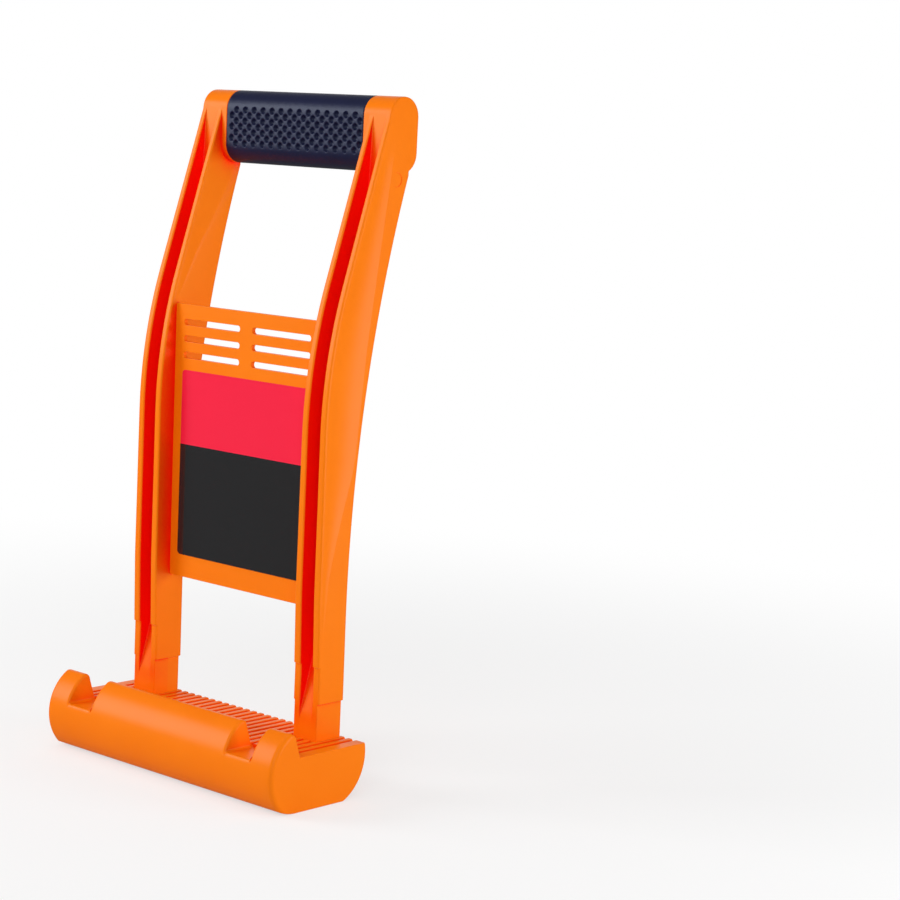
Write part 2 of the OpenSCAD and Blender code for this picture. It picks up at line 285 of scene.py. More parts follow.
# The red colours given here are painted shade for grooves and corners.
orange = orange_moulding("orange_moulding", (0.96, 0.08, 0.0008), 0.3, 14, neighbours=False)
orange_leg = orange_moulding("orange_leg", (0.98, 0.006, 0.0005), 0.52, 40, neighbours=True)
print("finishes", orange.name, "and", orange_leg.name)

# %% [markdown]
# ## Soft grip
# The sleeve on the handle is a soft rubber, nearly black with some blue in it. Soft rubber has a wide,
# bluish shine, so its roughness is moderate and its reflections are tinted. A faint speckle keeps it
# from looking like paint.

# %% Soft grip finish


def soft_rubber():
    finish = Finish(bpy.data.materials.new("soft_grip"))
    speckle = finish.noise(0.35, detail=2.0)
    clouds = finish.noise(12, detail=2.0)
    finish.set(
        Base_Color=finish.mix(clouds, (0.0035, 0.005, 0.030), (0.0055, 0.007, 0.040)),
        Roughness=0.36 + 0.12 * speckle,
        Normal=finish.bump(speckle, 0.03, strength=0.4),
        Specular_IOR_Level=0.3,
        Specular_Tint=(0.7, 0.8, 1.0),
    )
    return finish.owner


rubber = soft_rubber()
print("finish", rubber.name)

# %% [markdown]
# ## Printed film
# The sheet on the plate is a printed film with a clear glossy face: a red field over a black one. It is
# left bare here. Its height decides the colour, and a slow ripple in the gloss shows that it is a
# film stuck on by hand.

# %% Printed film finish
film_low, film_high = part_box("label_sheet")
film_red_h = 44.4
film_split = film_high.z - film_red_h * MM
print("film from", round(film_low.z / MM, 1), "to", round(film_high.z / MM, 1), "mm")


def printed_film():
    finish = Finish(bpy.data.materials.new("printed_film"))
    ink = finish.noise(0.25, detail=1.0)
    ripple = finish.noise(9, detail=1.0)
    red = finish.mix(ink, (0.90, 0.012, 0.05), (0.94, 0.018, 0.06))
    black = finish.mix(ink, (0.012, 0.012, 0.013), (0.018, 0.018, 0.019))
    finish.set(
        Base_Color=finish.mix(finish.coordinate("Z") > film_split, black, red),
        Roughness=0.06 + 0.05 * ripple,
        Normal=finish.bump(ripple, 0.02, strength=0.15),
        IOR=1.5,
    )
    return finish.owner


film = printed_film()
print("finish", film.name)

# %% [markdown]
# ## Metal and hidden plastic
# The screws and washers are zinc-plated steel and the threaded bushes are brass. The tube inside the grip
# is plain black plastic. They show only from below and behind, so a short noise in the roughness is
# enough to make them read as turned, plated or moulded.

# %% Metal and hidden plastic finishes


def turned_metal(name, dull, bright, roughness):
    finish = Finish(bpy.data.materials.new(name))
    scratch = finish.noise(0.4, detail=3.0)
    finish.set(
        Base_Color=finish.mix(scratch, dull, bright),
        Metallic=1.0,
        Roughness=roughness + 0.15 * scratch,
        Normal=finish.bump(scratch, 0.01, strength=0.3),
    )
    return finish.owner


def plain_black():
    finish = Finish(bpy.data.materials.new("black_tube"))
    grain = finish.noise(0.6)
    finish.set(
        Base_Color=finish.mix(grain, (0.02, 0.02, 0.022), (0.03, 0.03, 0.033)),
        Roughness=0.45 + 0.1 * grain,
        Normal=finish.bump(grain, 0.03, strength=0.3),
    )
    return finish.owner


zinc = turned_metal("zinc_steel", (0.50, 0.51, 0.53), (0.66, 0.67, 0.69), 0.28)
brass = turned_metal("brass_bush", (0.66, 0.44, 0.14), (0.80, 0.58, 0.24), 0.25)
black = plain_black()
print("finishes", zinc.name, brass.name, "and", black.name)

# %% Finishes on the solids
for node, material in {
    "label_sheet": film,
    "handle_core": black,
    "leg_inserts": brass,
    "leg_screws": zinc,
    "leg_washers": zinc,
    "handle_screws": zinc,
    "hook_base": orange,
    "left_leg": orange_leg,
    "right_leg": orange_leg,
    "centre_plate": orange,
    "grip_sleeve": rubber,
}.items():
    mesh = frame["nodes"][node].data
    mesh.materials.clear()
    mesh.materials.append(material)
print("finishes on", len(frame["nodes"]), "nodes")

# %% [markdown]
# ## Rings and lofts
# The hook and the legs are long pieces whose outline changes along the way. A loft suits them: one ring of
# vertices is extruded from station to station, each new ring is moved to the outline there, and the two
# ends are closed. Corners are arcs in the ring, so that edges catch a soft line of light.

# %% Loft helpers


def arc(middle, radius, start, end, steps):
    """Points on an arc in a plane, from one angle in degrees to another."""
    angles = [math.radians(start + (end - start) * i / steps) for i in range(steps + 1)]
    return [(middle[0] + radius * math.cos(a), middle[1] + radius * math.sin(a)) for a in angles]


def loft(rings):
    """A closed bmesh that runs through rings of points with as many points each, in millimetres."""
    bm = bmesh.new()
    ring = [bm.verts.new(Vector(point) * MM) for point in rings[0]]
    edges = [bm.edges.new((ring[i - 1], ring[i])) for i in range(len(ring))]
    bm.faces.new(ring)
    for points in rings[1:]:
        grown = bmesh.ops.extrude_edge_only(bm, edges=edges)["geom"]
        fresh = {v for v in grown if isinstance(v, bmesh.types.BMVert)}
        ring = [next(e.other_vert(v) for e in v.link_edges if e.other_vert(v) in fresh) for v in ring]
        for vert, point in zip(ring, points):
            vert.co = Vector(point) * MM
        edges = [bm.edges.get((ring[i - 1], ring[i])) for i in range(len(ring))]
    bm.faces.new(ring)
    bmesh.ops.recalc_face_normals(bm, faces=bm.faces)
    return bm


print("loft helpers ready")

# %% [markdown]
# ## Legs
# Each leg is a channel: two rails with a groove between them. The rails end in round beads, and the groove
# runs out at the foot and under the head. Behind its bead the outer side is slightly scooped, and the scoop
# ends at a crease that crosses the side from the front at the foot to the back of the bend. The inner side
# has a shallow recess above the plate, which ends at a low step.
# An extruded outline could not follow the bend, or a groove that runs out, so the leg is a loft. The side
# view gives the front, the back and the floor of the groove for any height. The ring at that height is
# then drawn from those three numbers and the width there.

# %% Side view of a leg
leg_d, foot_step, foot_z = 20.4, 1.0, 53.1
rail_z, rail_low, rail_proud, rail_full_z = 74.5, 0.9, 2.0, 114.7
bend_z, bend_r, lean = 204.4, 280.0, math.radians(17.5)
back_curve_z, join_drop, join_back = 98.7, 1.2, 5.5
groove_min, web = 0.02, 2.4
groove_low_z, groove_low_slope, groove_top_slope = 42.7, math.radians(14.5), math.radians(15)
grip_low, grip_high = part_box("grip_sleeve")
total_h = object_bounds()[1].z / MM
grip_r = (grip_high.y - grip_low.y) / 2 / MM
grip_y = (grip_high.y + grip_low.y) / 2 / MM
grip_low_z = grip_low.z / MM
head_low_z, head_top_z = grip_low_z + grip_r, total_h - grip_r
bend_end_z = bend_z + bend_r * math.sin(lean)
bend_end_y = bend_r - rail_proud - bend_r * math.cos(lean)
head_y = grip_y - grip_r
join_y, join_z = grip_y + join_back, grip_low_z - join_drop
join_run, join_rise = join_y - leg_d, join_z - back_curve_z
back_curve_r = (join_rise**2 + join_run**2) / (2 * join_run)


def head_half(z):
    """Half the depth of the oval head at a height."""
    off = max(head_low_z - z, z - head_top_z, 0)
    return math.sqrt(max(grip_r**2 - off**2, 0))


def leg_front(z):
    """Depth of the front of the leg at a height."""
    if z < rail_z:
        return 0.0
    if z < rail_full_z:
        return -rail_low - (rail_proud - rail_low) * (z - rail_z) / (rail_full_z - rail_z)
    if z < bend_z:
        return -rail_proud
    if z < bend_end_z:
        return bend_r - rail_proud - math.sqrt(bend_r**2 - (z - bend_z) ** 2)
    if z < head_top_z:
        return bend_end_y + (z - bend_end_z) * math.tan(lean)
    return grip_y - head_half(z)


def leg_back(z):
    """Depth of the back of the leg at a height."""
    if z < foot_z:
        return leg_d - foot_step
    if z < back_curve_z:
        return leg_d
    if z <= join_z:
        return leg_d + back_curve_r - math.sqrt(back_curve_r**2 - (z - back_curve_z) ** 2)
    if z < head_low_z:
        return max(join_y, grip_y + head_half(z))
    return grip_y + head_half(z)


def groove_floor(z):
    """Depth of the floor of the groove at a height. It meets the front where the groove has run out."""
    low = (z - groove_low_z) * math.tan(groove_low_slope)
    top = head_y - (head_top_z - z) * math.tan(lean - groove_top_slope)
    return max(min(low, top, leg_back(z) - web), leg_front(z) + groove_min)


print("head from", round(head_low_z, 1), "to", round(head_top_z, 1), "mm")
print("back of the leg curved with a radius of", round(back_curve_r), "mm")

# %% Hollow sides of a leg
bead_r, bead_w = 1.1, 2.4
scoop_steps, scoop_min = 6, 0.6
scoop_slope = math.tan(math.radians(10.0))
recess_deep, recess_narrow, recess_wide = 0.5, 1, 8
hollow_fade, head_fade_low, head_fade_high = 15, 12, 4


def blend_in(z, start, end):
    """Share from 0 to 1 between two heights."""
    return min(max((z - start) / (end - start), 0), 1)


def along_line(line, z):
    """Depth at a height on a line through measured places."""
    for (low_z, low_y), (high_z, high_y) in zip(line, line[1:]):
        if z < high_z:
            return low_y + (high_y - low_y) * blend_in(z, low_z, high_z)
    return line[-1][1]


def leg_side(z, half, low, high, line, shape, step_w):
    """Side of a leg at a height: flat bead, a hollow of some shape, and flat again behind the line.

    Low and high are the ends of the rounded corners, and all points stay between them."""
    span = high - low
    bead = low + min(bead_w - bead_r, 0.3 * span)
    crease = max(along_line(line, z), bead + min(scoop_min, 0.2 * span))
    crease = min(crease, high - min(step_w + 0.1, 0.4 * span))
    under_head = 1 - blend_in(z, head_low_z - head_fade_low, head_low_z + head_fade_high)
    fade = blend_in(z, rail_z, rail_z + hollow_fade) * under_head
    shares = [i / scoop_steps for i in range(scoop_steps + 1)]
    points = [(half - fade * shape(t, crease - bead), bead + (crease - bead) * t) for t in shares]
    return points + [(half, crease + min(step_w, 0.3 * span))]


def scoop(t, width):
    """Depth of the round hollow on the outer side, at a share of its width."""
    return scoop_slope * width * t * (1 - t)


def recess(t, width):
    """Depth of the slanting recess on the inner side, at a share of its width."""
    return recess_deep * t * blend_in(width, recess_narrow, recess_wide)


print("a side 20 mm wide is scooped", round(scoop(0.5, 20), 2), "mm deep")

# %% Ring of a leg
leg_mid, leg_foot_w, leg_top_w, groove_w = 69.85, 20.6, 17.2, 9.9
back_edge_r, floor_edge_r, head_edge_r, foot_edge_r = 1.4, 0.9, 0.9, 0.6
corner_steps, scoop_end, recess_end = 4, 0.3, 1.8
outer_line = [(84, 1.0), (127, 5.0), (160, 13.4), (188, 22.0),
              (253, 28.4), (302, 35.6), (343, 41.8), (400, 50.5)]
inner_line = [(269, 0.0), (270, 9.0), (278, 13.8), (302, 26.1), (317, 36.2), (334, 46.2), (346, 53.9)]


def leg_ring(z):
    """Outline of the right leg at a height, as points in space."""
    front, back, floor = leg_front(z), leg_back(z), groove_floor(z)
    share = blend_in(z, foot_z, total_h)
    narrow = foot_step if z < foot_z else 0
    half = (leg_foot_w + (leg_top_w - leg_foot_w) * share) / 2 - narrow
    rim = max(z - (total_h - head_edge_r), 0)
    half -= head_edge_r - math.sqrt(max(head_edge_r**2 - rim**2, 0))
    head = blend_in(z, head_low_z, head_top_z)
    room = (back - front) / 2
    edge, rear = [min(foot_edge_r if z < foot_z else radius + (head_edge_r - radius) * head, 0.9 * room)
                  for radius in (bead_r, back_edge_r)]
    groove = groove_w / 2
    corner = min(floor_edge_r, 0.45 * (floor - front))
    lip = min(edge, 0.9 * (floor - front))
    outer = leg_side(z, half, front + edge, back - rear, outer_line, scoop, scoop_end)
    inner = leg_side(z, half, front + edge, back - rear, inner_line, recess, recess_end)
    points = arc((-half + edge, front + edge), edge, 180, 270, corner_steps)
    points += arc((-groove - lip, front + lip), lip, 270, 360, corner_steps)
    points += arc((-groove + corner, floor - corner), corner, 180, 90, corner_steps)
    points += arc((groove - corner, floor - corner), corner, 90, 0, corner_steps)
    points += arc((groove + lip, front + lip), lip, 180, 270, corner_steps)
    points += arc((half - edge, front + edge), edge, 270, 360, corner_steps)
    points += outer
    points += arc((half - rear, back - rear), rear, 0, 90, corner_steps)
    points += arc((-half + rear, back - rear), rear, 90, 180, corner_steps)
    points += [(-x, y) for x, y in reversed(inner)]
    return [(leg_mid + x, y, z) for x, y in points]


print("ring of a leg with", len(leg_ring(bend_z)), "points")

# %% Loft of a leg
leg_low_z, step_h = 29.5, 0.4
plain_heights = [48, 64, 80, 86, 92, 106]
top_gaps = [0.05, 0.005]


def stations():
    """Heights of the rings: close together where the side view turns quickly."""
    heights = [leg_low_z, groove_low_z, foot_z - step_h, foot_z, rail_z - step_h, rail_z]
    heights += [*plain_heights, back_curve_z, rail_full_z]
    heights += [rail_full_z + (bend_z - rail_full_z) * i / 8 for i in range(1, 9)]
    heights += [bend_z + (bend_end_z - bend_z) * i / 14 for i in range(1, 15)]
    heights += [bend_end_z + (join_z - bend_end_z) * i / 7 for i in range(1, 8)]
    heights += [head_low_z - grip_r * math.cos(math.radians(a)) for a in (24, 30, 40, 50, 60, 70, 80, 90)]
    heights += [head_low_z + (head_top_z - head_low_z) * i / 4 for i in range(1, 5)]
    heights += [head_top_z + grip_r * math.sin(math.radians(a)) for a in range(6, 85, 6)]
    heights += [total_h - gap for gap in top_gaps]
    return sorted(heights)


right_leg = loft([leg_ring(z) for z in stations()])
print("right leg", len(right_leg.faces), "faces before the head is fitted")

# %% [markdown]
# ## Heads
# On the inner side of each head a short oval collar takes the end of the grip, and at the back a screw
# holds the tube inside. The collar is a circle whose halves are pulled apart, extruded sideways and
# bevelled. It is joined to the leg, and the bore for the screw is cut, with exact booleans, because both
# shapes are closed and simple. The same cut leaves the faint round mark on the outer side, below the
# head, where a pin of the mould pushed the leg out.

# %% Collar of a head
grip_end, collar_edge, collar_in = 57.0, 0.5, 1.0


def oval_bar(x_from, x_to, shrink=0.0):
    """Closed bar across the width with the oval section of the grip."""
    bm = bmesh.new()
    turned = Matrix.Rotation(math.radians(90), 4, "Y")
    bmesh.ops.create_circle(bm, cap_ends=True, segments=64, radius=(grip_r - shrink) * MM, matrix=turned)
    half_straight = (head_top_z - head_low_z) / 2
    for vert in bm.verts:
        rise = half_straight if vert.co.z > 0 else -half_straight
        vert.co += Vector((x_from, grip_y, (head_top_z + head_low_z) / 2 + rise)) * MM
    grown = bmesh.ops.extrude_face_region(bm, geom=bm.faces[:])["geom"]
    fresh = [v for v in grown if isinstance(v, bmesh.types.BMVert)]
    bmesh.ops.translate(bm, verts=fresh, vec=Vector((x_to - x_from, 0, 0)) * MM)
    bmesh.ops.recalc_face_normals(bm, faces=bm.faces)
    return bm


def rim_edges(bm, x):
    """Edges of a bar that lie in the plane of one of its ends."""
    return [e for e in bm.edges if all(abs(v.co.x / MM - x) < 0.01 for v in e.verts)]


def cut_with(bm, cutter, operation):
    """Joins or cuts a bmesh with another one, and returns the result."""
    shapes = []
    for label, source in (("target", bm), ("cutter", cutter)):
        mesh = bpy.data.meshes.new(label)
        source.to_mesh(mesh)
        source.free()
        shapes.append(bpy.data.objects.new(label, mesh))
        bpy.context.scene.collection.objects.link(shapes[-1])
    boolean = shapes[0].modifiers.new("cut", "BOOLEAN")
    boolean.operation = operation
    boolean.object = shapes[1]
    boolean.solver = "EXACT"
    bpy.context.view_layer.update()
    result = bmesh.new()
    result.from_object(shapes[0], bpy.context.evaluated_depsgraph_get())
    for shape in shapes:
        bpy.data.objects.remove(shape)
    return result


collar = oval_bar(grip_end, leg_mid - groove_w / 2 - collar_in)
bmesh.ops.bevel(collar, geom=rim_edges(collar, grip_end), offset=collar_edge * MM, offset_type="OFFSET",
                affect="EDGES", segments=3, profile=0.5, material=-1)
right_leg = cut_with(right_leg, collar, "UNION")
print("right leg", len(right_leg.faces), "faces with its collar")

# %% Bore and mould mark
bore_fit, bore_depth = 0.25, 5.0
mark_y, mark_z, mark_r, mark_depth, mark_rod = 47.6, 349.0, 4.2, 0.2, 2.0
screw_low, screw_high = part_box("handle_screws")
screw_head_r = (screw_high.z - screw_low.z) / 2 / MM
screw_z = (screw_high.z + screw_low.z) / 2 / MM
screw_x = screw_high.x / MM - screw_head_r


def add_rod(bm, middle, radius, length, turn=0, axis="X"):
    """Adds a closed cylinder, upright or turned by some degrees about an axis."""
    placed = Matrix.Translation(Vector(middle) * MM) @ Matrix.Rotation(math.radians(turn), 4, axis)
    bmesh.ops.create_cone(bm, cap_ends=True, segments=48, radius1=radius * MM, radius2=radius * MM,
                          depth=length * MM, matrix=placed)


bore = bmesh.new()
add_rod(bore, (screw_x, screw_high.y / MM, screw_z), screw_head_r + bore_fit, bore_depth, 90, "X")
mark_x = max(x for x, y, z in leg_ring(mark_z)) + mark_rod / 2 - mark_depth
add_rod(bore, (mark_x, mark_y, mark_z), mark_r, mark_rod, 90, "Y")
right_leg = cut_with(right_leg, bore, "DIFFERENCE")
print("bore at", round(screw_x, 1), round(screw_z, 1), "and mark at", round(mark_x, 1), mark_z, "mm")

# %% Both legs


def finish_piece(bm, name, material, slot, *nodes, crease=32):
    """Makes an object of a bmesh, gives it its finish and lets it stand for CAD nodes."""
    mesh = bpy.data.meshes.new(name)
    bm.to_mesh(mesh)
    bm.free()
    mesh.materials.append(material)
    mesh.shade_smooth()
    mesh.set_sharp_from_angle(angle=math.radians(crease))
    piece = bpy.data.objects.new(name, mesh)
    bpy.context.scene.collection.objects.link(piece)
    weighted = piece.modifiers.new("even_shading", "WEIGHTED_NORMAL")
    weighted.keep_sharp = True
    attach(piece, "root")
    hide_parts(*nodes)
    print(name, len(mesh.polygons), "faces")
    return piece


left_leg = right_leg.copy()
bmesh.ops.scale(left_leg, vec=Vector((-1, 1, 1)), verts=left_leg.verts)
bmesh.ops.reverse_faces(left_leg, faces=left_leg.faces)
finish_piece(right_leg, "right_leg_moulding", orange_leg, "orange_moulding", "right_leg")
finish_piece(left_leg, "left_leg_moulding", orange_leg, "orange_moulding", "left_leg")

# %% [markdown]
# ## Hook
# The hook is a moulded bar with a rounded front, a ribbed floor and a lip with two notches. Its side view
# hardly changes over the width, so it is lofted sideways. Three rules shape the ring at each place: the
# rims shrink it near the ends, a notch limits its height, and the gaps between the ribs lower its floor.
# A soft minimum takes the place of a plain one, which rounds the edges where two limits meet.

# %% Lip of the hook
floor_z, lip_z, lip_lean, lip_r, throat = 31.4, 46.5, 4.7, 3.6, 30.0
front_y, front_mid_z, front_r = -23.9, 21.7, 28.0
front_mid = Vector((front_y, front_mid_z))
lip_along = Vector((-lip_lean, lip_z - floor_z)).normalized()
lip_into = Vector((-lip_along.y, lip_along.x))
lip_off = Vector((-throat, floor_z)) + lip_into * lip_r - front_mid
lip_run = math.sqrt(lip_off.dot(lip_along) ** 2 - lip_off.length_squared + (front_r - lip_r) ** 2)
lip_off += lip_along * (lip_run - lip_off.dot(lip_along))
lip_mid = front_mid + lip_off
lip_from = math.degrees(math.atan2(-lip_into.y, -lip_into.x))
lip_to = math.degrees(math.atan2(lip_off.y, lip_off.x))
print("lip rounded from", round(lip_from), "to", round(lip_to), "degrees")
print("top of the lip at", round(lip_mid.y + lip_r, 1), "mm")

# %% Edges and ribs of the hook
rib_pitch, rib_w, rib_h, rib_last, rib_edge = 6.1, 3.2, 1.5, 15, 0.35


def rim(radius, inside):
    """How far an edge of this radius falls back at a distance inside the end of a piece."""
    short = radius - min(max(inside, 0), radius)
    return radius - math.sqrt(radius**2 - short**2)


def soft_min(a, b, width):
    """The smaller of two values, with a rounded step where they are nearly equal."""
    near = max(width - abs(a - b), 0) / width
    return min(a, b) - near**2 * width / 4


def floor_drop(x):
    """How far the floor lies below the rib tops at a distance from the middle."""
    rib = min(round(x / rib_pitch), rib_last)
    off = 0 if x > rib * rib_pitch and rib == rib_last else abs(x - rib * rib_pitch)
    inside = rib_w / 2 - off
    return rim(rib_edge, inside) if inside >= 0 else rib_h


print("ribs", 2 * rib_last + 1, "with gaps", round(rib_pitch - rib_w, 1), "mm wide")

# %% Ring of the hook
hook_end, end_edge, front_rim = 97.5, 0.5, 3.0
toe_y, toe_r = -32.0, 30.0
back_y, back_mid_z, back_r, back_rim = -6.2, 25.6, 28.4, 1.0
notch_in, notch_out, notch_z, notch_edge, notch_fillet = 58.6, 79.1, 29.5, 1.8, 1.8
notch_soft, lip_soft, floor_soft = 2.6, 1.0, 0.7
wall_fade, front_fade = 1.5, 1.0
lip_steps, slip = 10, 0.02
floor_places = [20.2, 10.0, 0.0, -10.0, -20.0, -29.0, -throat + slip]
wall_heights = [28.9, 30.4, floor_z, 34.0, 38.0, 41.5]
back_turns = range(-90, 16, 4)
front_turns = [lip_to + 1.5, *range(127, 271, 3)]


def hook_ring(x):
    """Side view of the hook at a place across its width, as points in space."""
    far_x = abs(x)
    end = hook_end - far_x
    outside_notch = max(far_x - notch_out, notch_in - far_x)
    in_notch = outside_notch < 0
    wall_cut = 0 if in_notch else rim(notch_edge, outside_notch)
    top = notch_z + rim(notch_fillet, -outside_notch) if in_notch else lip_z
    edge_w = notch_soft if in_notch else lip_soft
    level = floor_z - floor_drop(far_x) - rim(end_edge, end)
    low = rim(end_edge, end)
    points = []
    for angle in back_turns:
        way = (math.cos(math.radians(angle)), math.sin(math.radians(angle)))
        reach = back_r - rim(back_rim, end)
        if way[1] < 0:
            reach = min(reach, (back_mid_z - low) / -way[1])
        y, z = back_y + reach * way[0], back_mid_z + reach * way[1]
        points.append((y, soft_min(z, level, floor_soft)))
    points += [(y, level) for y in floor_places]
    for i, z in enumerate(wall_heights):
        lean_y = -throat - lip_lean * max(z - floor_z, 0) / (lip_z - floor_z) - slip * i
        cut = wall_cut * blend_in(z, notch_z, notch_z + wall_fade) + rim(end_edge, end)
        points.append((lean_y - cut, top if in_notch else max(z, level)))
    for i in range(lip_steps + 1):
        share = i / lip_steps
        angle = math.radians(lip_from + (lip_to - lip_from) * share)
        radius = lip_r - wall_cut - rim(end_edge, end) * (1 - share) - rim(front_rim, end) * share
        y, z = lip_mid.x + radius * math.cos(angle), lip_mid.y + radius * math.sin(angle)
        points.append((y, soft_min(z, top, edge_w)))
    for angle in front_turns:
        way = (math.cos(math.radians(angle)), math.sin(math.radians(angle)))
        side_z = front_mid_z + front_r * way[1]
        beside_notch = blend_in(side_z, notch_z - front_fade, notch_z + front_fade)
        reach = front_r - rim(front_rim, end) - wall_cut * beside_notch
        if way[1] < 0:
            reach = min(reach, (front_mid_z - low) / -way[1])
        y, z = front_y + reach * way[0], front_mid_z + reach * way[1]
        off_y, off_z = y - toe_y, z - toe_r
        if off_y < 0 and off_z < 0 and math.hypot(off_y, off_z) > toe_r - low:
            scale = (toe_r - low) / math.hypot(off_y, off_z)
            y, z = toe_y + off_y * scale, toe_r + off_z * scale
        points.append((y, soft_min(z, top, edge_w)))
    return [(x, y, z) for y, z in points]


print("ring of the hook with", len(hook_ring(0)), "points")

# %% Loft of the hook
hair = 0.01
outside_steps = [1.8, 1.3, 0.9, 0.55, 0.28, 0.1, hair]
inside_steps = [hair, 0.1, 0.3, 0.6, 1.1, 1.8]
end_steps = [3, 2.3, 1.7, 1.2, 0.8, 0.5, 0.3, 0.15, 0.05, 0]


def places():
    """Places of the rings across the hook: close together at the ribs, the notches and the ends."""
    half = [0.0]
    for i in range(rib_last):
        low, high = i * rib_pitch + rib_w / 2, (i + 1) * rib_pitch - rib_w / 2
        half += [low - rib_edge, low - rib_edge / 3, low - hair, low + hair]
        half += [high - hair, high + hair, high + rib_edge / 3, high + rib_edge]
    for step in outside_steps:
        half += [notch_in - step, notch_out + step]
    for step in inside_steps:
        half += [notch_in + step, notch_out - step]
    half += [hook_end - step for step in end_steps]
    half = sorted(set(round(x, 3) for x in half))
    return [-x for x in reversed(half[1:])] + half


hook = loft([hook_ring(x) for x in places()])
print("hook", len(hook.faces), "faces")

# %% [markdown]
# From below the hook shows a row of six hollows, which save plastic, and the recesses of the two screws
# that pull the legs down. Boxes and cylinders are made with the create operators, and one boolean cuts
# them all.

# %% Underside of the hook
pocket_wall, pocket_step, pocket_pairs = 5.0, 59.5 / 3, 3
pocket_front, pocket_back, pocket_h = -18.0, 2.0, 12.0
recess_y, recess_r, recess_h = 5.2, 5.65, 8.4
past_underside = 1.0


def box(low, high):
    """Matrix that turns a unit cube into the box between two corners."""
    low, high = Vector(low) * MM, Vector(high) * MM
    return Matrix.Translation((low + high) / 2) @ Matrix.Diagonal(high - low).to_4x4()


hollows = bmesh.new()
for side in (-1, 1):
    for i in range(pocket_pairs):
        near = pocket_wall / 2 + i * pocket_step
        edges = sorted((side * near, side * (near + pocket_step - pocket_wall)))
        bmesh.ops.create_cube(hollows, size=1, matrix=box(
            (edges[0], pocket_front, -past_underside), (edges[1], pocket_back, pocket_h)))
    middle = (side * leg_mid, recess_y, (recess_h - past_underside) / 2)
    add_rod(hollows, middle, recess_r, recess_h + past_underside)
hook = cut_with(hook, hollows, "DIFFERENCE")
finish_piece(hook, "hook_moulding", orange, "orange_moulding", "hook_base")

# %% [markdown]
# ## Grip
# The soft sleeve has seven rows of dimples on its front and on its back, set like the squares of a
# chessboard. Bump shading would look flat from the side, so they are modelled. Every dimple sits in a
# rhombus, and rhombuses tile a sheet without gaps. One tile with a bowl and one plain tile are made from
# circles. Copies of them are laid out flat and welded. The sheet is then wrapped round the oval, cut to
# length and closed, and the room for the tube is taken out.

# %% Tiles of the grip
tile_pitch, tile_rows = 7.61, 34
grip_mid_z = (head_low_z + head_top_z) / 2
straight = head_top_z - head_low_z
girth = 2 * straight + 2 * math.pi * grip_r
row_pitch = girth / tile_rows
bowl_depth = 1.6
bowl = [(0.7, 1.5), (1.2, 1.3), (1.55, 0.9), (1.8, 0.42), (2.05, 0.12), (2.35, 0.0)]
around, plain_r = 16, 1.6


def rhombus_point(i):
    """Corner or edge point of a tile, with four steps on each side."""
    quarter, step = divmod(i, around // 4)
    corners = [(tile_pitch / 2, 0), (0, row_pitch), (-tile_pitch / 2, 0), (0, -row_pitch)]
    a, b = corners[quarter % 4], corners[(quarter + 1) % 4]
    share = step / (around / 4)
    return Vector((a[0] + (b[0] - a[0]) * share, a[1] + (b[1] - a[1]) * share, 0)) * MM


def tile(rings, depth):
    """A rhombus with a circle in it, sunk ring by ring. Depth is at the centre."""
    bm = bmesh.new()
    bmesh.ops.create_circle(bm, cap_ends=True, cap_tris=True, segments=around, radius=rings[0][0] * MM)
    centre = min(bm.verts, key=lambda v: v.co.length)
    ring = sorted((v for v in bm.verts if v is not centre),
                  key=lambda v: math.atan2(v.co.y, v.co.x) % math.tau)
    for vert in ring:
        vert.co.z = -rings[0][1] * MM
    centre.co.z = -depth * MM
    for radius, sunk in rings[1:] + [(None, 0)]:
        edges = [bm.edges.get((ring[i - 1], ring[i])) for i in range(around)]
        grown = bmesh.ops.extrude_edge_only(bm, edges=edges)["geom"]
        fresh = {v for v in grown if isinstance(v, bmesh.types.BMVert)}
        ring = [next(e.other_vert(v) for e in v.link_edges if e.other_vert(v) in fresh) for v in ring]
        for i, vert in enumerate(ring):
            turn = math.tau * i / around
            round_place = Vector((math.cos(turn), math.sin(turn), 0))
            vert.co = round_place * (radius * MM) if radius else rhombus_point(i)
            vert.co.z = -sunk * MM
    mesh = bpy.data.meshes.new("tile")
    bm.to_mesh(mesh)
    bm.free()
    return mesh


dimple_tile = tile(bowl, bowl_depth)
plain_tile = tile([(plain_r, 0.0)], 0.0)
print("tiles with", len(dimple_tile.polygons), "and", len(plain_tile.polygons), "faces")

# %% Flat sheet of tiles
dimple_shift, dimple_rows, half_columns = 1.0, 3, 9
weld = 0.05
grip_half = grip_high.x / MM
sheet = bmesh.new()
for row in range(tile_rows):
    near_row = (row + tile_rows // 4) % (tile_rows // 2) - tile_rows // 4
    for column in range(-half_columns, half_columns + 1):
        x = dimple_shift + tile_pitch * (column + 0.5 * (row % 2))
        whole = abs(x) + bowl[-1][0] < grip_half
        mesh = dimple_tile if abs(near_row) <= dimple_rows and whole else plain_tile
        before = len(sheet.verts)
        sheet.from_mesh(mesh)
        sheet.verts.ensure_lookup_table()
        bmesh.ops.translate(sheet, verts=sheet.verts[before:], vec=Vector((x, row * row_pitch, 0)) * MM)
bmesh.ops.remove_doubles(sheet, verts=sheet.verts, dist=weld * MM)
print("flat sheet with", len(sheet.faces), "faces")

# %% Sheet wrapped round the oval
rim_in, rim_drop = 0.4, 0.25
sleeve_t, past_end = 2.3, 60


def wrap(place):
    """Moves a point of the flat sheet onto the oval. Rows start at the front and run upwards."""
    run = (place.y / MM + straight / 2) % girth
    radius = grip_r + place.z / MM
    way = 1
    if run >= girth / 2:
        run -= girth / 2
        way = -1
    turn = max(run - straight, 0) / grip_r
    off_y = -radius * math.cos(turn)
    off_z = min(run, straight) - straight / 2 + radius * math.sin(turn)
    return Vector((place.x, (grip_y + way * off_y) * MM, (grip_mid_z + way * off_z) * MM))


